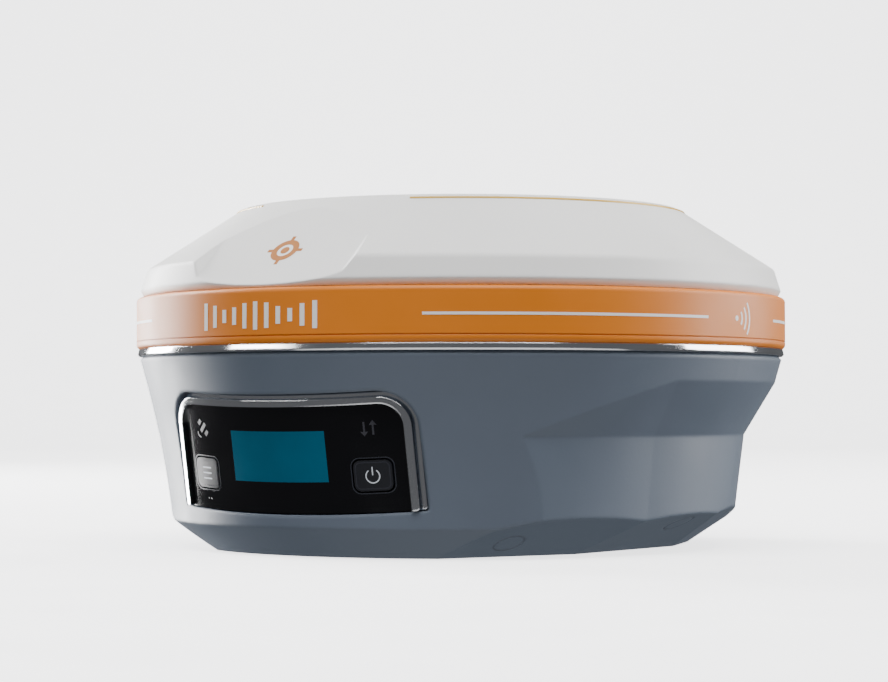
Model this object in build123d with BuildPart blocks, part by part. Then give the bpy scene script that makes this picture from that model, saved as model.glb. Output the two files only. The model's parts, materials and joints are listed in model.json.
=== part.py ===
from build123d import *

# Pole-mounted GNSS receiver: a round two-part case with a front key panel, in millimetres.
#
# +Z is up, the key panel faces -Y, and the origin is on the pole-thread axis at the base.
# Angles called "bearing" run round the Z axis from the front (-Y) towards +X.

import os
from math import atan2, cos, radians, sin, sqrt, tan

os.makedirs("parts", exist_ok=True)


def save(piece, name):
    """Label a finished sub-part and write its STEP file."""
    piece.part.label = name
    export_step(piece.part, f"parts/{name}.step")


def bearing_point(bearing, distance, height=0.0):
    """The point at a bearing from the front and a distance from the axis."""
    return (distance * sin(radians(bearing)), -distance * cos(radians(bearing)), height)


def rings_of(builder, radius):
    """The circular edges of a given radius in a part under construction."""
    circles = builder.edges().filter_by(GeomType.CIRCLE)
    return circles.filter_by(lambda edge: abs(edge.radius - radius) < 0.01)


# ---------------------------------------------------------------- driving dimensions

BAND_R = 76.0  # widest radius of the whole receiver
BAND_IN_R = 73.2
BAND_LOW, BAND_TOP = 45.75, 57.6
CROWN_Z = 80.0  # highest point of the dome

WALL = 2.2  # dome shell thickness
DISC_R, DISC_Z = 51.2, 78.5  # edge of the nearly flat top of the dome
SHOULDER_R, SHOULDER_Z = 73.5, 64.1  # foot of the dome's slope
SKIRT_R = 73.0  # dome skirt inside the band
SKIRT_IN_R = 70.8
FACET_HALF = 20.0  # half width of the dome's flat front facet
FACET_TILT = 42.6  # steepness of that facet
FACET_FLARE = 34.0  # how far its sides flare out over 20 mm of height

RIM_Z = 44.1  # joint plane between dome and lower housing
FLOOR = 3.5  # housing floor thickness
SHELL = 2.5  # housing wall thickness
WAIST_R, WAIST_Z = 66.4, 26.0  # inset side wall below the slanted ledge
WAIST_DRAFT = 7.0
LEDGE_SLANT = 31.0
WAIST_BEARING = 74.0  # the inset wall starts to swell forward from here
SWELL_BEARING, SWELL_R = 36.0, 72.6  # and has left the bowl here

PANEL_TILT = 9.5  # the key panel faces slightly downwards
PANEL_R = 74.0  # curvature of the panel lens
PANEL_Y, PANEL_Z = -68.8, 20.9  # centre of the lens's front surface
LENS_W, LENS_H, LENS_CORNER = 61.0, 23.2, 5.0
LENS_T = 1.8
TRIM_RIDGE, TRIM_FLANGE = 1.5, 0.9
PANEL_GAP = 0.45
KEY_X, KEY_Y = 22.8, -3.7  # key centres on the panel
KEY_W, KEY_H, KEY_CLEAR = 8.2, 6.6, 0.35
WINDOW_W, WINDOW_H, WINDOW_Y = 25.6, 11.0, 0.7

THREAD_R = 6.8  # crest radius of a 5/8-11 internal thread
THREAD_DEPTH = 15.0

SCREW_R = 59.0  # ring of the six case screws
SCREW_BEARINGS = (45, 90, 135, -45, -90, -135)
WELL_R = 3.3

PORT_X, PORT_Y, PORT_WELL_R = 19.0, 39.5, 9.0

CHASSIS_Z, CHASSIS_T = 36.0, 1.5
BOARD_Z, BOARD_T = 42.0, 1.6
PLANE_Z = 57.0  # underside of the antenna ground plane

FOOT_R = 60.4  # radius of the foot where the bowl reaches the base
FOOT_RUN, FOOT_RISE = 7.3, 6.6  # width and height of its chamfer

# Bottom facets: bearing, distance from the axis at the base, angle from vertical.
BASE_FACETS = (
    (66.5, 48.8, 63),
    (90, 44.5, 66),
    (111, 49.7, 57),
    (148.3, 55.2, 46),
    (180, 55.0, 45),
    (-66.5, 48.8, 63),
    (-90, 44.5, 66),
    (-111, 49.7, 57),
    (-148.3, 55.2, 46),
)

PANEL = Plane(
    origin=(0, PANEL_Y, PANEL_Z),
    x_dir=(1, 0, 0),
    z_dir=(0, -cos(radians(PANEL_TILT)), -sin(radians(PANEL_TILT))),
)


# ---------------------------------------------------------------- top dome

CROWN_RISE = CROWN_Z - DISC_Z
CROWN_R = (DISC_R**2 + CROWN_RISE**2) / (2 * CROWN_RISE)


def crown_drop(distance):
    """How far the shallow spherical crown has dropped at a distance from the axis."""
    return CROWN_R - sqrt(CROWN_R**2 - distance**2)


def facet_cutter(inset):
    """A flared block whose lower face is the dome's front facet, moved in by inset."""
    tilt = radians(FACET_TILT)
    start = Plane(
        origin=(0, -100 + inset * sin(tilt), 66.9 - 35 * tan(tilt) - inset * cos(tilt)),
        x_dir=(1, 0, 0),
        z_dir=(0, cos(tilt), sin(tilt)),
    )
    with BuildPart() as cutter:
        with BuildSketch(start):
            with BuildLine():
                Polyline(
                    (-FACET_HALF, 0),
                    (FACET_HALF, 0),
                    (FACET_HALF + FACET_FLARE, -20),
                    (-FACET_HALF - FACET_FLARE, -20),
                    close=True,
                )
            make_face()
        extrude(amount=90)
    return cutter.part


with BuildPart() as dome_void:
    with BuildSketch(Plane.XZ):
        with BuildLine():
            Polyline(
                (0, CROWN_Z - WALL),
                (0, BAND_LOW),
                (SKIRT_IN_R, BAND_LOW),
                (SKIRT_IN_R, 58.5),
                (SHOULDER_R - 1.2, 59.8),
                (SHOULDER_R - 2.2, SHOULDER_Z - 1.4),
                (DISC_R - 1.2, CROWN_Z - WALL - crown_drop(DISC_R - 1.2)),
            )
            ThreePointArc(
                (DISC_R - 1.2, CROWN_Z - WALL - crown_drop(DISC_R - 1.2)),
                (DISC_R / 2, CROWN_Z - WALL - crown_drop(DISC_R / 2)),
                (0, CROWN_Z - WALL),
            )
        make_face()
    revolve(axis=Axis.Z)
    add(facet_cutter(WALL), mode=Mode.SUBTRACT)

with BuildPart() as top_dome:
    with BuildSketch(Plane.XZ):
        with BuildLine():
            Polyline(
                (0, CROWN_Z),
                (0, RIM_Z),
                (SKIRT_R, RIM_Z),
                (SKIRT_R, BAND_TOP + 0.1),
                (74.2, BAND_TOP + 0.1),
                (75.0, 59.2),
                (SHOULDER_R, SHOULDER_Z),
                (DISC_R, DISC_Z),
            )
            ThreePointArc((DISC_R, DISC_Z), (DISC_R / 2, CROWN_Z - crown_drop(DISC_R / 2)), (0, CROWN_Z))
        make_face()
    revolve(axis=Axis.Z)
    fillet(rings_of(top_dome, DISC_R), 2.5)
    fillet(rings_of(top_dome, SHOULDER_R), 1.3)
    add(facet_cutter(0), mode=Mode.SUBTRACT)
    # the cavity, and the wider throat over the rim seal
    add(dome_void.part, mode=Mode.SUBTRACT)
    with BuildSketch(Plane.XY.offset(RIM_Z)):
        Circle(69.6)
    extrude(amount=BAND_LOW - RIM_Z + 0.01, mode=Mode.SUBTRACT)
    # screw bosses hang from the slope and meet the housing's pillars
    for bearing in SCREW_BEARINGS:
        with BuildSketch(Plane.XY.offset(RIM_Z)):
            with Locations(bearing_point(bearing, SCREW_R)[:2]):
                Circle(3.8)
        extrude(amount=26)
        with BuildSketch(Plane.XY.offset(RIM_Z)):
            with Locations(bearing_point(bearing, SCREW_R)[:2]):
                Circle(1.3)
        extrude(amount=12, mode=Mode.SUBTRACT)

ACCENT_SECTION = 0.35
ACCENT_GAP = 23.0  # half of the bearing range left open at the front
with BuildPart() as dome_accent_ring:
    with BuildSketch(Plane.XZ):
        with Locations((DISC_R + 1.35, DISC_Z - 0.98)):
            Circle(ACCENT_SECTION)
    revolve(axis=Axis.Z, revolution_arc=360 - 2 * ACCENT_GAP)
# the sweep starts on +X, so it is turned until its gap is centred on the front
dome_accent_ring.part = dome_accent_ring.part.rotate(Axis.Z, -90 + ACCENT_GAP)
with BuildPart() as top_dome_grooved:
    add(top_dome.part)
    add(dome_accent_ring.part, mode=Mode.SUBTRACT)
save(top_dome_grooved, "top_dome")
save(dome_accent_ring, "dome_accent_ring")

# ---------------------------------------------------------------- band and trim rings

with BuildPart() as band_ring:
    with BuildSketch(Plane.XY.offset(BAND_LOW)):
        Circle(BAND_R)
        Circle(BAND_IN_R, mode=Mode.SUBTRACT)
    extrude(amount=BAND_TOP - BAND_LOW)
    fillet(rings_of(band_ring, BAND_R), 1.0)
    # a fine parting line just above the lower edge
    with BuildSketch(Plane.XY.offset(BAND_LOW + 1.5)):
        Circle(BAND_R + 1)
        Circle(BAND_R - 0.18, mode=Mode.SUBTRACT)
    extrude(amount=0.25, mode=Mode.SUBTRACT)
save(band_ring, "band_ring")

with BuildPart() as chrome_ring:
    with BuildSketch(Plane.XZ):
        with BuildLine():
            Polyline(
                (73.3, RIM_Z),
                (75.4, RIM_Z),
                (75.7, RIM_Z + 0.4),
                (75.4, BAND_LOW),
                (73.3, BAND_LOW),
                close=True,
            )
        make_face()
    revolve(axis=Axis.Z)
save(chrome_ring, "chrome_ring")

# ---------------------------------------------------------------- lower housing


def panel_outline(grow, bottom_grow=None, bottom_corner=0.6):
    """The panel's outline, round at the top corners, grown by a margin."""
    low = grow if bottom_grow is None else bottom_grow
    width = LENS_W + 2 * grow
    height = LENS_H + grow + low
    with BuildSketch() as outline:
        with Locations((0, (grow - low) / 2)):
            Rectangle(width, height)
        fillet(outline.vertices().group_by(Axis.Y)[-1], LENS_CORNER + max(grow, -2))
        fillet(outline.vertices().group_by(Axis.Y)[0], bottom_corner)
    return outline.sketch


def base_facet_plane(bearing, distance, slant):
    """The plane of one base facet, with its normal pointing out and down."""
    outward = Vector(*bearing_point(bearing, cos(radians(slant))))
    return Plane(
        origin=bearing_point(bearing, distance),
        z_dir=outward + Vector(0, 0, -sin(radians(slant))),
    )


def waist_outline():
    """The inset wall's outline: a round back that swells forward until it leaves the bowl."""
    rear = bearing_point(WAIST_BEARING, WAIST_R)[:2]
    middle = bearing_point((WAIST_BEARING + SWELL_BEARING) / 2, WAIST_R + 0.42 * (SWELL_R - WAIST_R))[:2]
    front = bearing_point(SWELL_BEARING, SWELL_R)[:2]
    with BuildSketch() as outline:
        with BuildLine():
            ThreePointArc(rear, (0, WAIST_R), (-rear[0], rear[1]))
            ThreePointArc(rear, middle, front)
            ThreePointArc((-rear[0], rear[1]), (-middle[0], middle[1]), (-front[0], front[1]))
            Polyline(front, (front[0], -95), (-front[0], -95), (-front[0], front[1]))
        make_face()
    return outline.sketch


def case_form(inset):
    """The lower case's outer form, or the same form moved in by a wall thickness."""
    with BuildPart() as waist:
        with BuildSketch(Plane.XY.offset(WAIST_Z)):
            add(waist_outline())
            if inset:
                offset(amount=-inset, kind=Kind.INTERSECTION)
        extrude(amount=-WAIST_Z - 1, taper=WAIST_DRAFT)
        with BuildSketch(Plane.XY.offset(WAIST_Z)):
            add(waist_outline())
            if inset:
                offset(amount=-inset, kind=Kind.INTERSECTION)
        extrude(amount=24, taper=-LEDGE_SLANT)
    with BuildPart() as form:
        with BuildSketch(Plane.XZ):
            with BuildLine():
                Polyline(
                    (66.8 - inset, 0),
                    (0, 0),
                    (0, RIM_Z),
                    (74.3 - inset, RIM_Z),
                    (75.1 - inset, RIM_Z - 0.8),
                )
                ThreePointArc((75.1 - inset, RIM_Z - 0.8), (70.6 - inset, 25.5), (66.8 - inset, 0))
            make_face()
        revolve(axis=Axis.Z)
        # even chamfer round the foot
        shift = inset / cos(atan2(FOOT_RUN, FOOT_RISE))
        with BuildSketch(Plane.XZ):
            with BuildLine():
                Polyline(
                    (FOOT_R - shift, 0),
                    (FOOT_R - shift + 2 * FOOT_RUN, 2 * FOOT_RISE),
                    (FOOT_R + 3 * FOOT_RUN, 0),
                    close=True,
                )
            make_face()
        revolve(axis=Axis.Z, mode=Mode.SUBTRACT)
        add(waist.part, mode=Mode.INTERSECT)
        for bearing, distance, slant in BASE_FACETS:
            inner_distance = distance - inset / cos(radians(slant))
            split(bisect_by=base_facet_plane(bearing, inner_distance, slant), keep=Keep.BOTTOM)
        if inset:
            split(bisect_by=Plane.XY.offset(FLOOR), keep=Keep.TOP)
    return form.part


def panel_block(sketch, outer_r, inner_r):
    """A panel-shaped block between two curved surfaces that share the lens's centre line."""
    centre = PANEL.origin - PANEL.z_dir * PANEL_R
    across = Plane(origin=centre - PANEL.y_dir * 40, x_dir=(1, 0, 0), z_dir=PANEL.y_dir)
    with BuildPart() as block:
        with BuildSketch(PANEL.offset(-30)):
            add(sketch)
        extrude(amount=36)
        with BuildSketch(across):
            Circle(outer_r)
            Circle(inner_r, mode=Mode.SUBTRACT)
        extrude(amount=80, mode=Mode.INTERSECT)
    return block.part


housing_outer = case_form(0)
housing_inner = case_form(SHELL)

SEAT_R = PANEL_R - LENS_T
POCKET_GROW = TRIM_RIDGE + TRIM_FLANGE + PANEL_GAP
POST_SPOTS = ((45, 23), (45, -23), (-45, 23), (-45, -23))
PORT_SPOTS = ((-PORT_X, PORT_Y), (PORT_X, PORT_Y))
RADIO_SPOT = (0, 44.5)
RADIO_WELL_R = 8.4
PORT_FLOOR = 9.0  # depth of the port wells above the base
VENT_SPOT = (0, 24)
PLATE_SPOT = (0, -34)
HINGE_Y, HINGE_Z = PORT_Y - 10.4, 1.6

with BuildPart() as supports:
    # case screw pillars, chassis posts and the pole-thread boss
    with BuildSketch(Plane.XY):
        for bearing in SCREW_BEARINGS:
            with Locations(bearing_point(bearing, SCREW_R)[:2]):
                Circle(4.8)
    extrude(amount=RIM_Z)
    with BuildSketch(Plane.XY):
        with Locations(*POST_SPOTS):
            Circle(3.2)
    extrude(amount=CHASSIS_Z)
    with BuildSketch(Plane.XY):
        Circle(13)
    extrude(amount=19)
    # sleeves round the port wells
    with BuildSketch(Plane.XY):
        with Locations(*PORT_SPOTS):
            Circle(PORT_WELL_R + 1.8)
        with Locations(RADIO_SPOT):
            Circle(RADIO_WELL_R + 1.8)
    extrude(amount=PORT_FLOOR + 2)
    # thickened strips over the flap hinges
    with BuildSketch(Plane.XY):
        with Locations((PORT_X, HINGE_Y), (-PORT_X, HINGE_Y)):
            Rectangle(12, 6)
    extrude(amount=FLOOR + 1.8)
    # ledge under the rim seal
    with BuildSketch(Plane.XY.offset(41)):
        Circle(74)
        Circle(69.8, mode=Mode.SUBTRACT)
    extrude(amount=2.3)
    add(panel_block(panel_outline(POCKET_GROW + 2.5, 3, 3), PANEL_R + 3, SEAT_R - 2.6))
    add(housing_outer, mode=Mode.INTERSECT)

with BuildPart() as lower_housing:
    add(housing_outer)
    add(housing_inner, mode=Mode.SUBTRACT)
    add(supports.part)
    # key panel pocket and the window behind the lens
    add(panel_block(panel_outline(POCKET_GROW, 0.3), PANEL_R + 9, SEAT_R), mode=Mode.SUBTRACT)
    add(panel_block(panel_outline(-2.2), PANEL_R + 9, SEAT_R - 9), mode=Mode.SUBTRACT)
    # pole-thread insert bore
    with BuildSketch(Plane.XY):
        Circle(10)
    extrude(amount=17, mode=Mode.SUBTRACT)
    with BuildSketch(Plane.XY):
        Circle(16)
    extrude(amount=0.6, mode=Mode.SUBTRACT)
    # port wells and the connector holes above them
    with BuildSketch(Plane.XY):
        with Locations(*PORT_SPOTS):
            Circle(PORT_WELL_R)
        with Locations(RADIO_SPOT):
            Circle(RADIO_WELL_R)
    extrude(amount=PORT_FLOOR, mode=Mode.SUBTRACT)
    with BuildSketch(Plane.XY.offset(PORT_FLOOR)):
        with Locations(PORT_SPOTS[0]):
            Circle(5.5)
        with Locations(PORT_SPOTS[1]):
            RectangleRounded(9.6, 4.2, 1.5)
        with Locations(RADIO_SPOT):
            Circle(4.0)
    extrude(amount=3, mode=Mode.SUBTRACT)
    # hinge slots and pin holes of the two port flaps
    with BuildSketch(Plane.XY):
        with Locations((PORT_X, HINGE_Y + 1.0), (-PORT_X, HINGE_Y + 1.0)):
            Rectangle(6.4, 5.2)
    extrude(amount=HINGE_Z + 1.5, mode=Mode.SUBTRACT)
    for x in (PORT_X, -PORT_X):
        with BuildSketch(Plane.YZ.offset(x - 4.6)):
            with Locations((HINGE_Y, HINGE_Z)):
                Circle(0.6)
        extrude(amount=9.2, mode=Mode.SUBTRACT)
    # case screw wells from below, screw holes above them
    for bearing in SCREW_BEARINGS:
        spot = bearing_point(bearing, SCREW_R)[:2]
        with BuildSketch(Plane.XY):
            with Locations(spot):
                Circle(WELL_R)
        extrude(amount=30, mode=Mode.SUBTRACT)
        with BuildSketch(Plane.XY.offset(30)):
            with Locations(spot):
                Circle(1.7)
        extrude(amount=RIM_Z, mode=Mode.SUBTRACT)
    # chassis screw holes
    with BuildSketch(Plane.XY.offset(CHASSIS_Z)):
        with Locations(*POST_SPOTS):
            Circle(1.25)
    extrude(amount=-8, mode=Mode.SUBTRACT)
    # pressure vent and its outlet
    with BuildSketch(Plane.XY):
        with Locations(VENT_SPOT):
            Circle(1.0)
    extrude(amount=FLOOR, mode=Mode.SUBTRACT)
    # shallow bed for the rating plate
    with BuildSketch(Plane.XY):
        with Locations(PLATE_SPOT):
            RectangleRounded(40, 18, 1.5)
    extrude(amount=0.3, mode=Mode.SUBTRACT)
save(lower_housing, "lower_housing")


def plate(spot, size, low, high, corner=0.0):
    """A rectangular block, round at the corners, between two heights."""
    with BuildPart() as block:
        with BuildSketch(Plane.XY.offset(low)):
            with Locations(spot):
                if corner:
                    RectangleRounded(size[0], size[1], corner)
                else:
                    Rectangle(*size)
        extrude(amount=high - low)
    return block.part


def rounds(spots, radius, low, high):
    """A group of upright round pieces of one size."""
    with BuildPart() as group:
        with BuildSketch(Plane.XY.offset(low)):
            with Locations(*spots):
                Circle(radius)
        extrude(amount=high - low)
    return group.part


with BuildPart() as rim_seal:
    add(rounds([(0, 0)], 71.6, 43.3, RIM_Z))
    add(rounds([(0, 0)], 70.0, 43.3, RIM_Z), mode=Mode.SUBTRACT)
save(rim_seal, "rim_seal")

with BuildPart() as case_screws:
    spots = [bearing_point(bearing, SCREW_R)[:2] for bearing in SCREW_BEARINGS]
    add(rounds(spots, 2.8, 27.2, 30))
    add(rounds(spots, 1.3, 30, 54))
    with BuildSketch(Plane.XY.offset(27.2)):
        with Locations(*spots):
            RegularPolygon(1.3, 6)
    extrude(amount=1.6, mode=Mode.SUBTRACT)
save(case_screws, "case_screws")

with BuildPart() as screw_plugs:
    add(rounds(spots, WELL_R - 0.03, 0, 16))
    add(housing_outer, mode=Mode.INTERSECT)
save(screw_plugs, "screw_plugs")

# ---------------------------------------------------------------- pole mount and underside

with BuildPart() as pole_thread_insert:
    add(rounds([(0, 0)], 16, 0, 0.6))
    add(rounds([(0, 0)], 10, 0.6, 17))
    add(rounds([(0, 0)], THREAD_R, 0, THREAD_DEPTH), mode=Mode.SUBTRACT)
    chamfer(rings_of(pole_thread_insert, THREAD_R).group_by(Axis.Z)[0], 0.5)
save(pole_thread_insert, "pole_thread_insert")

with BuildPart() as rating_plate:
    add(plate(PLATE_SPOT, (39.6, 17.6), 0.05, 0.3, 1.3))
save(rating_plate, "rating_plate")

with BuildPart() as vent_membrane:
    add(rounds([VENT_SPOT], 4, FLOOR, FLOOR + 0.4))
save(vent_membrane, "vent_membrane")

# ---------------------------------------------------------------- key panel


def key_sketch(margin, sides=(-1, 1)):
    """Rounded key outlines on the panel, grown by a margin."""
    with BuildSketch() as keys:
        with Locations(*[(side * KEY_X, KEY_Y) for side in sides]):
            RectangleRounded(KEY_W + 2 * margin, KEY_H + 2 * margin, 1.5 + margin)
    return keys.sketch


with BuildSketch() as ridge_outline:
    add(panel_outline(TRIM_RIDGE, 0))
    add(panel_outline(0, 2), mode=Mode.SUBTRACT)
with BuildSketch() as flange_outline:
    add(panel_outline(TRIM_RIDGE + TRIM_FLANGE, 0))
    add(panel_outline(0, 2), mode=Mode.SUBTRACT)

with BuildPart() as panel_trim:
    add(panel_block(flange_outline.sketch, PANEL_R - 0.3, SEAT_R))
    add(panel_block(ridge_outline.sketch, PANEL_R + 0.9, SEAT_R))
save(panel_trim, "panel_trim")

with BuildPart() as panel_lens:
    add(panel_block(panel_outline(0), PANEL_R, SEAT_R))
    with BuildSketch(PANEL.offset(-30)):
        add(key_sketch(KEY_CLEAR))
    extrude(amount=40, mode=Mode.SUBTRACT)
save(panel_lens, "panel_lens")

KEY_BACK = -8.6  # depth of the key stems behind the lens front
for side, name in ((-1, "function_key"), (1, "power_key")):
    with BuildPart() as key:
        add(panel_block(key_sketch(0, (side,)), PANEL_R + 0.1, 40))
        split(bisect_by=PANEL.offset(KEY_BACK), keep=Keep.TOP)
        with BuildSketch(PANEL.offset(KEY_BACK)):
            add(key_sketch(0.9, (side,)))
        extrude(amount=0.7)
    save(key, name)

BOARD_FRONT = -11.4  # front face of the keypad board
with BuildPart() as keypad_board:
    with BuildSketch(PANEL.offset(BOARD_FRONT)):
        RectangleRounded(55.6, 17.6, 2)
    extrude(amount=-1.2)
save(keypad_board, "keypad_board")

with BuildPart() as key_switches:
    with BuildSketch(PANEL.offset(BOARD_FRONT)):
        with Locations((KEY_X, KEY_Y), (-KEY_X, KEY_Y)):
            Rectangle(6, 6)
    extrude(amount=1.5)
    with BuildSketch(PANEL.offset(BOARD_FRONT)):
        with Locations((KEY_X, KEY_Y), (-KEY_X, KEY_Y)):
            Circle(1.7)
    extrude(amount=2.1)
save(key_switches, "key_switches")

with BuildPart() as indicator_lamps:
    with BuildSketch(PANEL.offset(BOARD_FRONT)):
        with Locations((KEY_X, 6), (-KEY_X, 6)):
            Rectangle(3, 1.6)
    extrude(amount=1.2)
save(indicator_lamps, "indicator_lamps")

with BuildPart() as display_module:
    with BuildSketch(PANEL.offset(BOARD_FRONT)):
        with Locations((0, WINDOW_Y)):
            Rectangle(WINDOW_W + 4, WINDOW_H + 3.6)
    extrude(amount=-BOARD_FRONT - 3.4)
    with BuildSketch(PANEL.offset(-3.4)):
        with Locations((0, WINDOW_Y)):
            Rectangle(WINDOW_W + 0.6, WINDOW_H + 0.6)
    extrude(amount=-0.9, mode=Mode.SUBTRACT)
save(display_module, "display_module")

with BuildPart() as display_glass:
    with BuildSketch(PANEL.offset(-4.3)):
        with Locations((0, WINDOW_Y)):
            Rectangle(WINDOW_W + 0.6, WINDOW_H + 0.6)
    extrude(amount=0.7)
save(display_glass, "display_glass")

# ---------------------------------------------------------------- underside ports

SERIAL_SPOT, POWER_SPOT = PORT_SPOTS
PORT_MOUTH = 3.2
SLEEVE_TOP = PORT_FLOOR + 2

with BuildPart() as serial_connector:
    add(rounds([SERIAL_SPOT], 5.5, PORT_MOUTH, SLEEVE_TOP))
    add(rounds([SERIAL_SPOT], 7.2, SLEEVE_TOP, SLEEVE_TOP + 1.8))
    add(rounds([SERIAL_SPOT], 4.5, PORT_MOUTH, SLEEVE_TOP + 1.8), mode=Mode.SUBTRACT)
save(serial_connector, "serial_connector")

with BuildPart() as serial_core:
    add(rounds([SERIAL_SPOT], 4.5, SLEEVE_TOP - 1, SLEEVE_TOP + 1.8))
    add(rounds([SERIAL_SPOT], 3.4, PORT_MOUTH + 1, SLEEVE_TOP - 1))
save(serial_core, "serial_core")

with BuildPart() as serial_contacts:
    with BuildSketch(Plane.XY.offset(PORT_MOUTH + 0.7)):
        with Locations(SERIAL_SPOT):
            Circle(0.4)
            with PolarLocations(2.2, 6):
                Circle(0.4)
    extrude(amount=0.3)
save(serial_contacts, "serial_contacts")

with BuildPart() as power_connector:
    add(plate(POWER_SPOT, (9.6, 4.2), PORT_MOUTH, SLEEVE_TOP, 1.5))
    add(plate(POWER_SPOT, (15, 9), SLEEVE_TOP, SLEEVE_TOP + 1.8, 1))
    add(plate(POWER_SPOT, (8.6, 3.2), PORT_MOUTH, SLEEVE_TOP - 2, 1.2), mode=Mode.SUBTRACT)
save(power_connector, "power_connector")

with BuildPart() as power_tongue:
    add(plate(POWER_SPOT, (6.4, 0.8), PORT_MOUTH + 0.8, SLEEVE_TOP - 2))
save(power_tongue, "power_tongue")

with BuildPart() as radio_connector:
    add(rounds([RADIO_SPOT], 5.4, 1.8, PORT_FLOOR))
    add(rounds([RADIO_SPOT], 4.0, PORT_FLOOR, SLEEVE_TOP))
    add(rounds([RADIO_SPOT], 7.0, SLEEVE_TOP, SLEEVE_TOP + 2))
    add(rounds([RADIO_SPOT], 4.2, 1.8, PORT_FLOOR - 1.5), mode=Mode.SUBTRACT)
    # screw thread of the barrel, cut as close rings
    for height in range(6):
        low = 2.4 + height
        with BuildSketch(Plane.XY.offset(low)):
            with Locations(RADIO_SPOT):
                Circle(6)
                Circle(5.1, mode=Mode.SUBTRACT)
        extrude(amount=0.5, mode=Mode.SUBTRACT)
save(radio_connector, "radio_connector")

with BuildPart() as radio_contact:
    add(rounds([RADIO_SPOT], 2.2, 5, PORT_FLOOR - 1.5))
    add(rounds([RADIO_SPOT], 0.65, 3, 5))
save(radio_contact, "radio_contact")

with BuildPart() as radio_cap:
    add(rounds([RADIO_SPOT], 7.4, 0.3, 8.4))
    fillet(rings_of(radio_cap, 7.4).group_by(Axis.Z)[0], 0.8)
    add(rounds([RADIO_SPOT], 5.8, 1.4, 8.4), mode=Mode.SUBTRACT)
    with BuildSketch(Plane.XY.offset(0.3)):
        with Locations(RADIO_SPOT):
            with PolarLocations(7.5, 18):
                Circle(0.45)
    extrude(amount=9, mode=Mode.SUBTRACT)
save(radio_cap, "radio_cap")

for x, name in ((-PORT_X, "serial_flap"), (PORT_X, "power_flap")):
    with BuildPart() as flap:
        add(rounds([(x, PORT_Y)], 8.5, 0.3, 2.0))
        add(plate((x, HINGE_Y + 1.6), (5.6, 3.2), 0.6, 2.0))
        with BuildSketch(Plane.YZ.offset(x - 2.8)):
            with Locations((HINGE_Y, HINGE_Z)):
                Circle(1.1)
        extrude(amount=5.6)
        # raised sealing ring inside and a finger notch outside
        add(rounds([(x, PORT_Y)], 7.9, 2.0, 2.7))
        add(rounds([(x, PORT_Y)], 7.0, 2.0, 2.7), mode=Mode.SUBTRACT)
        add(plate((x, PORT_Y + 6.6), (5, 1.6), 0.3, 1.1, 0.7), mode=Mode.SUBTRACT)
        with BuildSketch(Plane.YZ.offset(x - 2.8)):
            with Locations((HINGE_Y, HINGE_Z)):
                Circle(0.66)
        extrude(amount=5.6, mode=Mode.SUBTRACT)
    save(flap, name)

with BuildPart() as hinge_pins:
    for x in (PORT_X, -PORT_X):
        with BuildSketch(Plane.YZ.offset(x - 4.6)):
            with Locations((HINGE_Y, HINGE_Z)):
                Circle(0.6)
        extrude(amount=9.2)
save(hinge_pins, "hinge_pins")

# ---------------------------------------------------------------- battery

CELL_R, CELL_LONG, CELL_Z = 9.1, 65.0, 14.7
CELL_YS = (-24.5, -43.4)
with BuildPart() as battery_cells:
    with BuildSketch(Plane.YZ.offset(-CELL_LONG / 2)):
        with Locations(*[(y, CELL_Z) for y in CELL_YS]):
            Circle(CELL_R)
    extrude(amount=CELL_LONG)
save(battery_cells, "battery_cells")

with BuildPart() as battery_tray:
    add(plate((0, -34), (68.8, 38.6), FLOOR, 20))
    add(plate((0, -34), (66, 40), 9, 20), mode=Mode.SUBTRACT)
    add(plate((0, -34), (66, 40), 5, 9), mode=Mode.SUBTRACT)
    add(plate((0, -34), (66, 38.6), 5, 9))
    add(battery_cells.part, mode=Mode.SUBTRACT)
    add(case_form(SHELL + 0.3), mode=Mode.INTERSECT)
    add(rounds([(0, 0)], 13.2, 0, 20), mode=Mode.SUBTRACT)
save(battery_tray, "battery_tray")

with BuildPart() as cell_contacts:
    for side in (-1, 1):
        add(plate((side * (CELL_LONG / 2 + 0.25), -34), (0.5, 34), 9, 19.5))
save(cell_contacts, "cell_contacts")

# ---------------------------------------------------------------- chassis and main board

STANDOFF_SPOTS = [bearing_point(bearing, 48)[:2] for bearing in range(30, 390, 60)]
RIBBON_Y, LEAD_SPOT = -50, (14, -34)
CHASSIS_TOP = CHASSIS_Z + CHASSIS_T
BOARD_TOP = BOARD_Z + BOARD_T

with BuildPart() as chassis_plate:
    add(rounds([(0, 0)], 64, CHASSIS_Z, CHASSIS_TOP))
    add(rounds(spots, 5.2, CHASSIS_Z, CHASSIS_TOP), mode=Mode.SUBTRACT)
    add(rounds(POST_SPOTS, 1.7, CHASSIS_Z, CHASSIS_TOP), mode=Mode.SUBTRACT)
    add(plate((0, RIBBON_Y), (18, 5), CHASSIS_Z, CHASSIS_TOP, 2), mode=Mode.SUBTRACT)
    add(rounds([LEAD_SPOT, RADIO_SPOT], 3.5, CHASSIS_Z, CHASSIS_TOP), mode=Mode.SUBTRACT)
    for spot in PORT_SPOTS:
        add(plate(spot, (14, 4), CHASSIS_Z, CHASSIS_TOP, 1.5), mode=Mode.SUBTRACT)
save(chassis_plate, "chassis_plate")

with BuildPart() as chassis_screws:
    add(rounds(POST_SPOTS, 2.7, CHASSIS_TOP, CHASSIS_TOP + 1.8))
    add(rounds(POST_SPOTS, 1.25, CHASSIS_Z - 7, CHASSIS_TOP))
save(chassis_screws, "chassis_screws")

with BuildPart() as board_standoffs:
    add(rounds(STANDOFF_SPOTS, 2.4, CHASSIS_TOP, BOARD_Z))
    add(rounds(STANDOFF_SPOTS, 2.4, BOARD_TOP, PLANE_Z))
save(board_standoffs, "board_standoffs")

with BuildPart() as main_board:
    add(rounds([(0, 0)], 53, BOARD_Z, BOARD_TOP))
save(main_board, "main_board")

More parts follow.
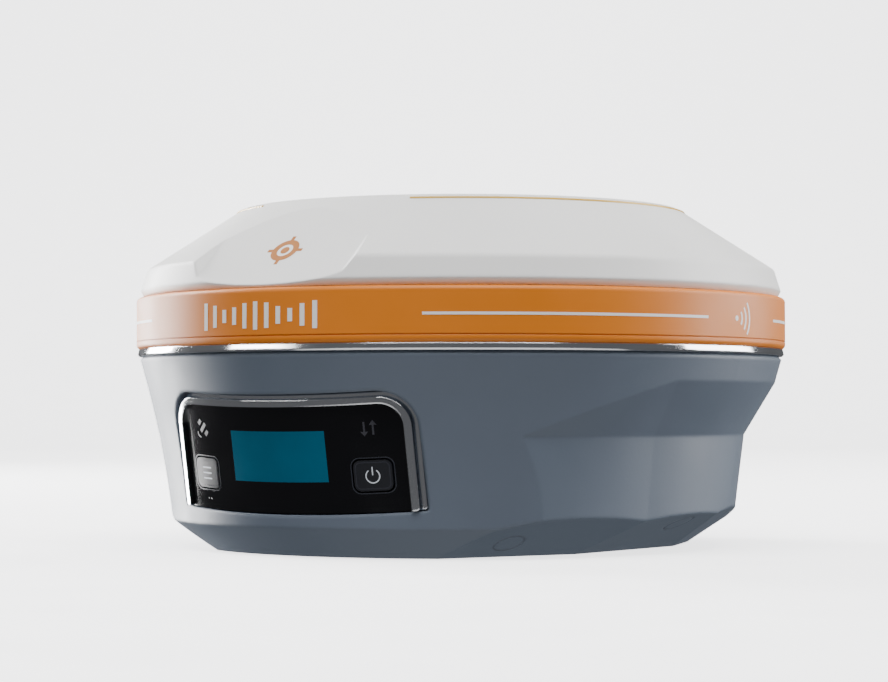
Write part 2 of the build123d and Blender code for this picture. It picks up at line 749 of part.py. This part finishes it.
with BuildPart() as shield_cans:
    add(plate((-20, 12), (36, 28), BOARD_TOP, BOARD_TOP + 3.2, 1))
    add(plate((22, -14), (28, 24), BOARD_TOP, BOARD_TOP + 3.2, 1))
save(shield_cans, "shield_cans")

with BuildPart() as receiver_module:
    add(plate((-16, -22), (36, 22), BOARD_TOP, BOARD_TOP + 4, 0.8))
save(receiver_module, "receiver_module")

with BuildPart() as tilt_sensor:
    add(plate((18, 14), (13, 13), BOARD_TOP, BOARD_TOP + 2.6, 0.8))
save(tilt_sensor, "tilt_sensor")

with BuildPart() as buzzer:
    add(rounds([(33, 14)], 5, BOARD_TOP, BOARD_TOP + 4.5))
    add(rounds([(33, 14)], 0.8, BOARD_TOP + 3.5, BOARD_TOP + 4.5), mode=Mode.SUBTRACT)
save(buzzer, "buzzer")

with BuildPart() as radio_module:
    add(plate((0, 10), (34, 24), BOARD_Z - 3.6, BOARD_Z, 0.8))
save(radio_module, "radio_module")

# ---------------------------------------------------------------- aerial stack

PLANE_TOP = PLANE_Z + 1.6
with BuildPart() as ground_plate:
    add(rounds([(0, 0)], 54, PLANE_Z, PLANE_TOP))
save(ground_plate, "ground_plate")

with BuildPart() as plate_screws:
    add(rounds(STANDOFF_SPOTS, 2.6, PLANE_TOP, PLANE_TOP + 1.8))
save(plate_screws, "plate_screws")

with BuildPart() as lower_element:
    add(plate((0, 0), (58, 58), PLANE_TOP, PLANE_TOP + 7.4, 6))
save(lower_element, "lower_element")

with BuildPart() as upper_element:
    add(plate((0, 0), (38, 38), PLANE_TOP + 7.7, PLANE_TOP + 13.7, 4))
save(upper_element, "upper_element")

with BuildPart() as element_foils:
    add(plate((0, 0), (53, 53), PLANE_TOP + 7.4, PLANE_TOP + 7.7, 4))
    add(plate((0, 0), (33, 33), PLANE_TOP + 13.7, PLANE_TOP + 14.0, 3))
save(element_foils, "element_foils")

with BuildPart() as feed_pins:
    add(rounds([(8, 0), (-8, 0), (0, 8), (0, -8)], 1.0, PLANE_TOP + 14.0, PLANE_TOP + 14.6))
save(feed_pins, "feed_pins")

with BuildPart() as amplifier_can:
    add(plate((0, 0), (30, 30), PLANE_Z - 4.5, PLANE_Z, 1))
save(amplifier_can, "amplifier_can")

# ---------------------------------------------------------------- internal wiring

with BuildPart() as aerial_coax:
    add(rounds([(2, 0)], 0.9, BOARD_TOP, PLANE_Z - 4.5))
    add(rounds([RADIO_SPOT], 0.9, SLEEVE_TOP + 2, BOARD_Z))
save(aerial_coax, "aerial_coax")

with BuildPart() as panel_ribbon:
    with BuildSketch(Plane.YZ.offset(-7)):
        with BuildLine():
            Polyline((-55.4, 27.5), (-50, 30), (-50, BOARD_Z - 0.3))
            offset(amount=0.25, side=Side.BOTH)
        make_face()
    extrude(amount=14)
save(panel_ribbon, "panel_ribbon")

with BuildPart() as battery_leads:
    for step in (-1.2, 1.2):
        add(rounds([(LEAD_SPOT[0] + step, LEAD_SPOT[1])], 0.8, 19.8, BOARD_Z))
    add(plate(LEAD_SPOT, (9, 5), 18.2, 19.8, 0.5))
    add(battery_cells.part, mode=Mode.SUBTRACT)
save(battery_leads, "battery_leads")

with BuildPart() as port_leads:
    for spot in PORT_SPOTS:
        add(plate(spot, (6, 0.5), SLEEVE_TOP + 1.8, BOARD_Z))
save(port_leads, "port_leads")
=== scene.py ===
import json
import math

import bpy
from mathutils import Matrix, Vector


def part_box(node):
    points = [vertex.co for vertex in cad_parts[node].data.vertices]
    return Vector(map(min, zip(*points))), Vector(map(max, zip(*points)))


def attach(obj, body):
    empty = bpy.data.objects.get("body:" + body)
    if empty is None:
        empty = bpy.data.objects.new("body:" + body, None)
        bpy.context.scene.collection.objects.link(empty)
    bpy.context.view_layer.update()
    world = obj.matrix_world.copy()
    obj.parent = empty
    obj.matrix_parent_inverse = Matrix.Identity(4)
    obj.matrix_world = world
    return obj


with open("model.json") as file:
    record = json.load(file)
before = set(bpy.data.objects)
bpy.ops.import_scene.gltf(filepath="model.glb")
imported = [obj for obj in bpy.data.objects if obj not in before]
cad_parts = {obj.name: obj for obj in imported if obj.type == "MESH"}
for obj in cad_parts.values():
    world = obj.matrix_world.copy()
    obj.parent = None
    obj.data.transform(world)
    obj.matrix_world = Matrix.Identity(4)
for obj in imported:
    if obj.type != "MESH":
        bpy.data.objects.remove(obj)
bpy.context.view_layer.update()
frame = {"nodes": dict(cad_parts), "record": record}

MM = 0.001

# ---------------------------------------------------------------- driving sizes
# lengths in millimetres, angles in radians

BAND_LOW, BAND_HIGH = (corner.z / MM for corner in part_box("band_ring"))
BAND_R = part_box("band_ring")[1].x / MM
BAND_MID = (BAND_LOW + BAND_HIGH) / 2

PANEL_TILT = math.radians(9.5)
PANEL_CENTRE = Vector((0, -68.8, 20.9))
PANEL_CURVE_R = 74.0

FACET_TILT = math.radians(42.6)
FACET_POINT = Vector((0, -65.0, 66.9))

KEY_U, KEY_V = 22.8, -3.7
KEY_PROUD = 0.1
KEY_W, KEY_H, KEY_CORNER = 7.2, 5.6, 1.0
KEY_HOLE_W, KEY_HOLE_H, KEY_HOLE_CORNER = 8.9, 7.3, 1.8
ICON_V = 6.4
WINDOW_W, WINDOW_H, WINDOW_V = 25.6, 11.0, 0.7
PRINT_LIFT = 0.04
PRINT_THICKNESS = 0.03
KEY_PRINT_LIFT = KEY_PROUD + PRINT_LIFT

# ---------------------------------------------------------------- materials

# most values of a noise texture lie between these two
NOISE_LOW, NOISE_HIGH = 0.3, 0.7
SMUDGE_SCALE = 38.0
SPECK_SCALE, SPECK_REACH, SPECK_TONE = 260.0, 0.09, 0.5
COAT_ROUGHNESS = 0.06
SMOOTHEST = 0.02
# sockets of a colour mix node, where the number modes use the same names
MIX_FIRST, MIX_SECOND, MIX_RESULT = 6, 7, 2


def node(tree, kind, **inputs):
    """A shader node with some of its inputs set."""
    made = tree.nodes.new(kind)
    for key, value in inputs.items():
        made.inputs[key.replace("_", " ")].default_value = value
    return made


def surface(
    name, colour, roughness, metal=0.0, grain=600.0, bump=0.1, depth=0.00005,
    shade=0.06, rough_spread=0.08, coat=0.0, glow=0.0, specks=0.0, soft_edge_highlight=0.0,
):
    """A finish with fine grain, slow shade changes, smudges in the gloss and a few specks.

    soft_edge is the radius in metres that the shading rounds the moulded creases to.
    """
    material = bpy.data.materials.new(name)
    material.use_nodes = True
    tree = material.node_tree
    link = tree.links.new
    shader = tree.nodes["Principled BSDF"]
    shader.inputs["Metallic"].default_value = metal
    shader.inputs["Coat Weight"].default_value = coat
    shader.inputs["Coat Roughness"].default_value = COAT_ROUGHNESS
    place = tree.nodes.new("ShaderNodeTexCoord")

    fine = node(tree, "ShaderNodeTexNoise", Scale=grain, Detail=6.0, Roughness=0.6)
    link(place.outputs["Object"], fine.inputs["Vector"])
    raised = node(tree, "ShaderNodeBump", Strength=bump, Distance=depth)
    link(fine.outputs["Fac"], raised.inputs["Height"])
    if soft_edge_highlight:
        rounding = node(tree, "ShaderNodeBevel", Radius=soft_edge_highlight)
        rounding.samples = 6
        link(rounding.outputs["Normal"], raised.inputs["Normal"])
    link(raised.outputs["Normal"], shader.inputs["Normal"])

    slow = node(tree, "ShaderNodeTexNoise", Scale=SMUDGE_SCALE, Detail=4.0, Roughness=0.55)
    link(place.outputs["Object"], slow.inputs["Vector"])
    gloss = node(
        tree, "ShaderNodeMapRange", From_Min=NOISE_LOW, From_Max=NOISE_HIGH,
        To_Min=max(roughness - rough_spread, SMOOTHEST), To_Max=roughness + rough_spread,
    )
    link(slow.outputs["Fac"], gloss.inputs["Value"])
    link(gloss.outputs["Result"], shader.inputs["Roughness"])

    ramp = tree.nodes.new("ShaderNodeValToRGB")
    dark_end, light_end = ramp.color_ramp.elements
    dark_end.position = NOISE_LOW
    light_end.position = NOISE_HIGH
    dark_end.color = [c * (1 - shade) for c in colour] + [1]
    light_end.color = [min(c * (1 + shade), 1) for c in colour] + [1]
    link(slow.outputs["Fac"], ramp.inputs["Fac"])
    tint = ramp.outputs["Color"]
    if specks:
        dust = node(tree, "ShaderNodeTexVoronoi", Scale=SPECK_SCALE)
        link(place.outputs["Object"], dust.inputs["Vector"])
        spot = node(
            tree, "ShaderNodeMapRange", From_Min=0.0, From_Max=SPECK_REACH,
            To_Min=specks, To_Max=0.0,
        )
        link(dust.outputs["Distance"], spot.inputs["Value"])
        mix = tree.nodes.new("ShaderNodeMix")
        mix.data_type = "RGBA"
        mix.inputs[MIX_SECOND].default_value = [c * SPECK_TONE for c in colour] + [1]
        link(spot.outputs["Result"], mix.inputs["Factor"])
        link(tint, mix.inputs[MIX_FIRST])
        tint = mix.outputs[MIX_RESULT]
    link(tint, shader.inputs["Base Color"])
    # glow makes the finish give off light of its own: painted light on the display and key glyphs,
    # and an even self-lit surface on the backdrop paper
    if glow:
        link(tint, shader.inputs["Emission Color"])
        shader.inputs["Emission Strength"].default_value = glow
    return material


FINISHES = {
    "white_shell": surface(
        "white_shell", (0.86, 0.855, 0.84), 0.46,
        bump=0.12, shade=0.015, specks=0.10, soft_edge_highlight=0.0012,
    ),
    "orange_band": surface(
        "orange_band", (0.70, 0.19, 0.0), 0.5, bump=0.06, shade=0.04, soft_edge_highlight=0.0003,
    ),
    "chrome": surface(
        "chrome", (0.82, 0.83, 0.85), 0.1,
        metal=1.0, bump=0.03, shade=0.03, rough_spread=0.04, soft_edge_highlight=0.0005,
    ),
    "grey_shell": surface(
        "grey_shell", (0.115, 0.142, 0.185), 0.5,
        grain=1500, bump=0.35, shade=0.04, specks=0.08, soft_edge_highlight=0.0012,
    ),
    "accent_gold": surface("accent_gold", (0.72, 0.44, 0.06), 0.35, shade=0.05),
    "seal_rubber": surface(
        "seal_rubber", (0.022, 0.022, 0.024), 0.6, grain=900, bump=0.3, specks=0.2,
    ),
    "steel": surface("steel", (0.58, 0.58, 0.60), 0.3, metal=1.0, grain=1200, bump=0.2),
    "brass": surface("brass", (0.74, 0.52, 0.22), 0.3, metal=1.0, grain=1400, bump=0.25),
    "lens_black": surface(
        "lens_black", (0.002, 0.002, 0.003), 0.1, bump=0.02, shade=0.2, rough_spread=0.05,
    ),
    # the dark teal display is given a glow of its own, painted light that lifts its teal
    "display_teal": surface("display_teal", (0.002, 0.07, 0.12), 0.2, shade=0.15, glow=0.28),
    "key_black": surface("key_black", (0.006, 0.007, 0.011), 0.32, grain=1200, bump=0.1),
    "board_green": surface("board_green", (0.02, 0.13, 0.06), 0.4, grain=500, bump=0.2, shade=0.15),
    "part_black": surface("part_black", (0.025, 0.025, 0.027), 0.5, bump=0.15, shade=0.1),
    "aluminium": surface("aluminium", (0.62, 0.62, 0.64), 0.38, metal=1.0, bump=0.2),
    "ceramic": surface("ceramic", (0.76, 0.70, 0.60), 0.6, bump=0.3, specks=0.3),
    "gold_metal": surface("gold_metal", (0.85, 0.62, 0.28), 0.22, metal=1.0, bump=0.1),
    "cell_wrap": surface("cell_wrap", (0.05, 0.18, 0.45), 0.28, shade=0.08, coat=0.5),
    "plate_white": surface("plate_white", (0.70, 0.70, 0.69), 0.4, shade=0.03, specks=0.1),
}
PRINT_WHITE = surface("print_white", (0.86, 0.86, 0.84), 0.45, bump=0.05, shade=0.02)
PRINT_ORANGE = surface("print_orange", (0.42, 0.13, 0.0), 0.4, bump=0.05, shade=0.04)
PRINT_DIM = surface("print_dim", (0.035, 0.035, 0.045), 0.4, bump=0.05, shade=0.1)
# the light grey key glyphs are given a faint glow of their own, painted light that makes them read
# brighter
PRINT_PAINTED_GLOW = surface("print_painted_glow", (0.62, 0.66, 0.72), 0.4, bump=0.05, shade=0.04, glow=0.1)

for entry in frame["record"]["subparts"]:
    piece = frame["nodes"][entry["node"]]
    piece.data.materials.clear()
    piece.data.materials.append(FINISHES[entry["material_slot"]])

# the bright trim has rolled edges that catch the light
rolled = frame["nodes"]["panel_trim"].modifiers.new("rolled_edges", "BEVEL")
rolled.width, rolled.segments = 0.0004, 3
rolled.limit_method = "ANGLE"
rolled.angle_limit = math.radians(50)

# ---------------------------------------------------------------- printed marks
# a mark is a list of flat outlines, in millimetres right and up on the surface it lies on


def heading(turn):
    """The unit vector at an angle, in radians, from the mark's right."""
    return Vector((math.cos(turn), math.sin(turn)))


def on_band(u, v, lift):
    """Band coordinates (arc length from the front, height above the band's middle) in space."""
    turn = u / BAND_R
    reach = BAND_R + lift
    return Vector((reach * math.sin(turn), -reach * math.cos(turn), BAND_MID + v)) * MM


def on_panel(u, v, lift):
    """Key-panel coordinates (right, up, out) in space, following the lens's curve."""
    out = math.sqrt((PANEL_CURVE_R + lift) ** 2 - u**2) - PANEL_CURVE_R
    across = Vector((u, 0, 0))
    upward = Vector((0, -math.sin(PANEL_TILT), math.cos(PANEL_TILT))) * v
    outward = Vector((0, -math.cos(PANEL_TILT), -math.sin(PANEL_TILT))) * out
    return (PANEL_CENTRE + across + upward + outward) * MM


def on_facet(u, v, lift):
    """Dome-facet coordinates (right, up the slope, out) in space."""
    up_slope = Vector((0, math.cos(FACET_TILT), math.sin(FACET_TILT))) * v
    outward = Vector((0, -math.sin(FACET_TILT), math.cos(FACET_TILT))) * lift
    return (FACET_POINT + Vector((u, 0, 0)) + up_slope + outward) * MM


def bar(start, end, width, steps=1):
    """A straight stroke as a run of quads."""
    run = Vector(end) - Vector(start)
    side = Vector((-run.y, run.x)).normalized() * width / 2
    quads = []
    for i in range(steps):
        a = Vector(start) + run * i / steps
        b = Vector(start) + run * (i + 1) / steps
        quads.append([a - side, b - side, b + side, a + side])
    return quads


def arc(centre, radius, width, first, last, steps=24):
    """A curved stroke from one angle to another, in degrees."""
    inner, outer = radius - width / 2, radius + width / 2
    quads = []
    for i in range(steps):
        a = math.radians(first + (last - first) * i / steps)
        b = math.radians(first + (last - first) * (i + 1) / steps)
        corners = ((a, inner), (a, outer), (b, outer), (b, inner))
        quads.append([Vector(centre) + heading(turn) * reach for turn, reach in corners])
    return quads


def disc(centre, radius, steps=24):
    """A filled circle."""
    turns = [2 * math.pi * i / steps for i in range(steps)]
    return [[Vector(centre) + heading(turn) * radius for turn in turns]]


def piece_from(name, points, faces, finish):
    """A mesh piece of one finish, put in the scene."""
    mesh = bpy.data.meshes.new(name)
    mesh.from_pydata(points, [], faces)
    mesh.materials.append(finish)
    made = bpy.data.objects.new(name, mesh)
    bpy.context.collection.objects.link(made)
    return made


def printed(name, shapes, place, finish, body, lift=PRINT_LIFT):
    """A thin printed mark laid over a surface, as one closed piece."""
    points, faces = [], []
    for shape in shapes:
        base = len(points)
        count = len(shape)
        twice_area = sum(
            shape[i][0] * shape[(i + 1) % count][1] - shape[(i + 1) % count][0] * shape[i][1]
            for i in range(count)
        )
        ordered = shape if twice_area > 0 else shape[::-1]
        points += [place(u, v, lift) for u, v in ordered]
        points += [place(u, v, lift - PRINT_THICKNESS) for u, v in ordered]
        faces.append(range(base, base + count))
        faces.append(range(base + 2 * count - 1, base + count - 1, -1))
        for i in range(count):
            j = (i + 1) % count
            faces.append((base + i, base + count + i, base + count + j, base + j))
    mark = piece_from(name, points, [tuple(face) for face in faces], finish)
    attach(mark, body)


def band_arc(degrees):
    """Arc length on the band of a bearing from the front."""
    return math.radians(degrees) * BAND_R


LINE_W = 0.6
# each line's first and last bearing from the front, in degrees
BAND_LINES = (("band_line_right", 29, 79.5), ("band_line_rear", 102.5, 329.5))
for name, first, last in BAND_LINES:
    line = bar((band_arc(first), 0), (band_arc(last), 0), LINE_W, steps=int(last - first))
    printed(name, line, on_band, PRINT_WHITE, "housing")

# a row of upright bars stands where the maker's lettering was
BAR_COUNT, BAR_GAP, BAR_W = 11, 3.0, 1.15
SHORTEST_HALF, HALF_SWELL, SWELL_LENGTH = 1.1, 1.9, 5.2
bars = []
for i in range(BAR_COUNT):
    spot = (i - (BAR_COUNT - 1) / 2) * BAR_GAP
    half = SHORTEST_HALF + HALF_SWELL * abs(math.cos(spot / SWELL_LENGTH))
    bars += bar((spot, -half), (spot, half), BAR_W)
printed("band_mark", bars, on_band, PRINT_WHITE, "housing")

# contactless reader mark: three nested waves and a dot
WAVE_RADII, WAVE_W, WAVE_SPREAD = (2.2, 3.9, 5.6), 0.55, 38
WAVE_DOT_R, WAVE_DOT_SHIFT = 0.6, 3.4
wave_root = (band_arc(90) - WAVE_DOT_SHIFT, 0)
waves = disc(wave_root, WAVE_DOT_R)
for radius in WAVE_RADII:
    waves += arc(wave_root, radius, WAVE_W, -WAVE_SPREAD, WAVE_SPREAD, 10)
printed("contactless_mark", waves, on_band, PRINT_WHITE, "housing")

# generic target emblem on the dome's front facet
EMBLEM_V = -1.3
TARGET_R, TARGET_W, TARGET_DOT_R = 2.7, 1.5, 1.1
TICK_FROM, TICK_TO, TICK_W = 3.4, 4.7, 0.9
middle = Vector((0, EMBLEM_V))
emblem = arc(middle, TARGET_R, TARGET_W, 0, 360, 40) + disc(middle, TARGET_DOT_R)
for degrees in range(0, 360, 90):
    way = heading(math.radians(degrees))
    emblem += bar(middle + way * TICK_FROM, middle + way * TICK_TO, TICK_W)
printed("dome_emblem", emblem, on_facet, PRINT_ORANGE, "housing")

# ---------------------------------------------------------------- key panel details

# the display face glows with painted light from its finish
window = bar((-WINDOW_W / 2, WINDOW_V), (WINDOW_W / 2, WINDOW_V), WINDOW_H, steps=24)
printed("display_face", window, on_panel, FINISHES["display_teal"], "housing")

CORE_HALF, CRAFT_W = 0.9, 0.9
WING_OUT, WING_HALF = 1.15, Vector((0.45, 0.45))
DISH_R, DISH_W = 1.3, 0.3
core_foot = (-KEY_U - CORE_HALF, ICON_V - CORE_HALF)
satellite = bar(core_foot, (-KEY_U + CORE_HALF, ICON_V + CORE_HALF), CRAFT_W)
for way in (-1, 1):
    middle = Vector((-KEY_U + WING_OUT * way, ICON_V - WING_OUT * way))
    satellite += bar(middle - WING_HALF, middle + WING_HALF, CRAFT_W)
satellite += arc(core_foot, DISH_R, DISH_W, 185, 265, 8)
printed("satellite_icon", satellite, on_panel, PRINT_DIM, "housing")

ARROW_OUT = 0.95
SHAFT_BACK, SHAFT_FRONT, SHAFT_W = 1.4, 1.1, 0.4
HEAD_BACK, HEAD_FRONT, HEAD_HALF = 0.7, 1.7, 0.8
arrows = []
for way in (-1, 1):
    column = KEY_U + ARROW_OUT * way
    tail, neck = ICON_V - SHAFT_BACK * way, ICON_V + SHAFT_FRONT * way
    arrows += bar((column, tail), (column, neck), SHAFT_W)
    arrows.append([
        Vector((column - HEAD_HALF, ICON_V + HEAD_BACK * way)),
        Vector((column + HEAD_HALF, ICON_V + HEAD_BACK * way)),
        Vector((column, ICON_V + HEAD_FRONT * way)),
    ])
printed("link_icon", arrows, on_panel, PRINT_DIM, "housing")

HINT_V, HINT_OUT, HINT_R = -9.4, 0.5, 0.22
dots = disc((-KEY_U - HINT_OUT, HINT_V), HINT_R, 12) + disc((-KEY_U + HINT_OUT, HINT_V), HINT_R, 12)
printed("key_hint", dots, on_panel, PRINT_DIM, "housing")


def rounded_frame(centre, width, height, corner, thickness):
    """A closed outline stroke with round corners."""
    shapes = []
    half_w, half_h = width / 2 - corner, height / 2 - corner
    for sx, sy, first in ((1, 1, 0), (-1, 1, 90), (-1, -1, 180), (1, -1, 270)):
        middle = (centre[0] + sx * half_w, centre[1] + sy * half_h)
        shapes += arc(middle, corner, thickness, first, first + 90, 6)
    for sy in (-1, 1):
        level = centre[1] + sy * height / 2
        shapes += bar((centre[0] - half_w, level), (centre[0] + half_w, level), thickness, 6)
    for sx in (-1, 1):
        column = centre[0] + sx * width / 2
        shapes += bar((column, centre[1] - half_h), (column, centre[1] + half_h), thickness)
    return shapes


# painted highlight: the key outlines are thin strokes a little lighter and bluer than the black
# keys and lens, standing in for light caught on the key edges and on the rims of their holes
KEY_EDGE_HIGHLIGHT = surface("key_edge_highlight", (0.022, 0.024, 0.034), 0.3, bump=0.05)
EDGE_W, RIM_MARGIN = 0.22, 0.3
for name, side in (("function_key", -1), ("power_key", 1)):
    centre = (side * KEY_U, KEY_V)
    rim_w, rim_h = KEY_HOLE_W + RIM_MARGIN, KEY_HOLE_H + RIM_MARGIN
    # painted highlight round the rim of the key's hole
    rim_highlight = rounded_frame(centre, rim_w, rim_h, KEY_HOLE_CORNER, EDGE_W)
    printed(name + "_rim_highlight", rim_highlight, on_panel, KEY_EDGE_HIGHLIGHT, "housing")
    # painted highlight round the edge of the key
    edge_highlight = rounded_frame(centre, KEY_W, KEY_H, KEY_CORNER, EDGE_W)
    printed(name + "_edge_highlight", edge_highlight, on_panel, KEY_EDGE_HIGHLIGHT, name, KEY_PRINT_LIFT)

MENU_GAP, MENU_HALF, MENU_W = 1.2, 1.6, 0.3
menu = []
for row in (-1, 0, 1):
    level = KEY_V + MENU_GAP * row
    menu += bar((-KEY_U - MENU_HALF, level), (-KEY_U + MENU_HALF, level), MENU_W)
# the menu glyph carries the painted glow
printed("function_glyph", menu, on_panel, PRINT_PAINTED_GLOW, "function_key", KEY_PRINT_LIFT)

POWER_R, POWER_W, POWER_DROP = 1.45, 0.24, 0.1
STEM_FOOT, STEM_TOP = 0.1, 1.9
power = arc((KEY_U, KEY_V - POWER_DROP), POWER_R, POWER_W, 125, 415, 30)
power += bar((KEY_U, KEY_V + STEM_FOOT), (KEY_U, KEY_V + STEM_TOP), POWER_W)
# the power glyph carries the painted glow
printed("power_glyph", power, on_panel, PRINT_PAINTED_GLOW, "power_key", KEY_PRINT_LIFT)

# ---------------------------------------------------------------- pole thread

# 11 threads to the inch; the crest stands inside the plain CAD bore, for looks only
THREAD_PITCH = 25.4 / 11
THREAD_ROOT, THREAD_CREST = 6.82, 6.3
ROOT_HALF, CREST_HALF = 0.9, 0.15
THREAD_LOW, THREAD_HIGH = 1.2, 14.0
STEPS_PER_TURN = 60
FADE_STEPS = 20
points, faces = [], []
section = (
    (THREAD_ROOT, -ROOT_HALF),
    (THREAD_CREST, -CREST_HALF),
    (THREAD_CREST, CREST_HALF),
    (THREAD_ROOT, ROOT_HALF),
)
total = int((THREAD_HIGH - THREAD_LOW) / THREAD_PITCH * STEPS_PER_TURN)
for i in range(total + 1):
    turn = 2 * math.pi * i / STEPS_PER_TURN
    height = THREAD_LOW + THREAD_PITCH * i / STEPS_PER_TURN
    fade = min(1.0, i / FADE_STEPS, (total - i) / FADE_STEPS)
    for radius, rise in section:
        reach = THREAD_ROOT + (radius - THREAD_ROOT) * fade
        points.append(Vector((reach * math.cos(turn), reach * math.sin(turn), height + rise)) * MM)
ROW = len(section)
for i in range(total):
    for k in range(ROW):
        a, b = i * ROW + k, i * ROW + (k + 1) % ROW
        faces.append((a, a + ROW, b + ROW, b))
faces.append(tuple(range(ROW)))
faces.append(tuple(range(total * ROW + ROW - 1, total * ROW - 1, -1)))
helix = piece_from("pole_thread_helix", points, faces, FINISHES["brass"])
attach(helix, "housing")

# ---------------------------------------------------------------- studio, in metres

CAMERA_AZIMUTH = 35.0
FACING = math.radians(CAMERA_AZIMUTH)
FLOOR_SIDE, FLOOR_BACK, WALL_RISE = 3.0, 1.6, 2.4
SWEEP_R, SWEEP_STEPS = 0.8, 16


def sweep_mesh():
    """A pale floor that curves up into the backdrop behind the object, as seen by the camera."""
    profile = [(-FLOOR_SIDE, 0.0)]
    profile += [
        (FLOOR_BACK + SWEEP_R * math.sin(t), SWEEP_R * (1 - math.cos(t)))
        for t in (math.pi / 2 * i / SWEEP_STEPS for i in range(SWEEP_STEPS + 1))
    ]
    profile.append((FLOOR_BACK + SWEEP_R, WALL_RISE))
    points, quads = [], []
    for along, height in profile:
        for side in (-FLOOR_SIDE, FLOOR_SIDE):
            x = side * math.cos(FACING) - along * math.sin(FACING)
            y = side * math.sin(FACING) + along * math.cos(FACING)
            points.append((x, y, height))
    for i in range(len(profile) - 1):
        quads.append((2 * i, 2 * i + 1, 2 * i + 3, 2 * i + 2))
    mesh = bpy.data.meshes.new("backdrop")
    mesh.from_pydata(points, [], quads)
    for face in mesh.polygons:
        face.use_smooth = True
    return mesh


# the paper lights itself, so it is kept out of the object's light, reflections and shadows
PAPER = surface("paper", (0.86, 0.86, 0.87), 0.7, shade=0.01, bump=0.02, glow=2.6)
backdrop = bpy.data.objects.new("backdrop", sweep_mesh())
backdrop.data.materials.append(PAPER)
backdrop.visible_diffuse = False
backdrop.visible_glossy = False
backdrop.visible_shadow = False
bpy.context.collection.objects.link(backdrop)

world = bpy.data.worlds.new("studio")
bpy.context.scene.world = world
world.use_nodes = True
ambient = world.node_tree.nodes["Background"].inputs
ambient["Color"].default_value = (0.93, 0.95, 1.0, 1)
ambient["Strength"].default_value = 0.12


def softbox(name, bearing, distance, height, size, power, aim=(0, 0, 0.04)):
    """A soft rectangular light at a bearing from the front in degrees, turned towards aim."""
    data = bpy.data.lights.new(name, "AREA")
    data.shape = "RECTANGLE"
    data.size, data.size_y = size
    data.energy = power
    lamp = bpy.data.objects.new(name, data)
    turn = math.radians(bearing)
    lamp.location = (distance * math.sin(turn), -distance * math.cos(turn), height)
    lamp.rotation_euler = (Vector(aim) - lamp.location).to_track_quat("-Z", "Y").to_euler()
    bpy.context.collection.objects.link(lamp)


softbox("left_box", -96, 0.9, 0.2, (0.34, 0.9), 34)
softbox("right_box", 138, 0.9, 0.3, (0.6, 0.8), 13)
softbox("top_box", 35, 0.5, 1.1, (1.2, 0.9), 23)
softbox("trim_strip", -38, 1.0, 0.42, (0.5, 0.07), 1.6)
softbox("floor_bounce", 35, 0.35, -0.6, (1.2, 1.0), 3.6, aim=(0, 0, 0.02))
softbox("back_wash", 215, 0.9, 1.5, (1.8, 0.7), 60, aim=(-1.2, 1.7, 0.5))

# ---------------------------------------------------------------- camera

CAMERA_REACH, CAMERA_HEIGHT = 0.608, 0.0312
CAMERA_LENS, CAMERA_PITCH, CAMERA_YAW = 104.4, 1.58, 0.37
camera = bpy.data.objects.new("camera", bpy.data.cameras.new("camera"))
bpy.context.collection.objects.link(camera)
camera.location = (
    CAMERA_REACH * math.sin(FACING), -CAMERA_REACH * math.cos(FACING), CAMERA_HEIGHT,
)
camera.rotation_euler = (
    math.radians(90 + CAMERA_PITCH), 0, math.radians(CAMERA_AZIMUTH + CAMERA_YAW),
)
camera.data.lens = CAMERA_LENS
camera.data.clip_start = 0.01
bpy.context.scene.camera = camera

bpy.context.view_layer.update()
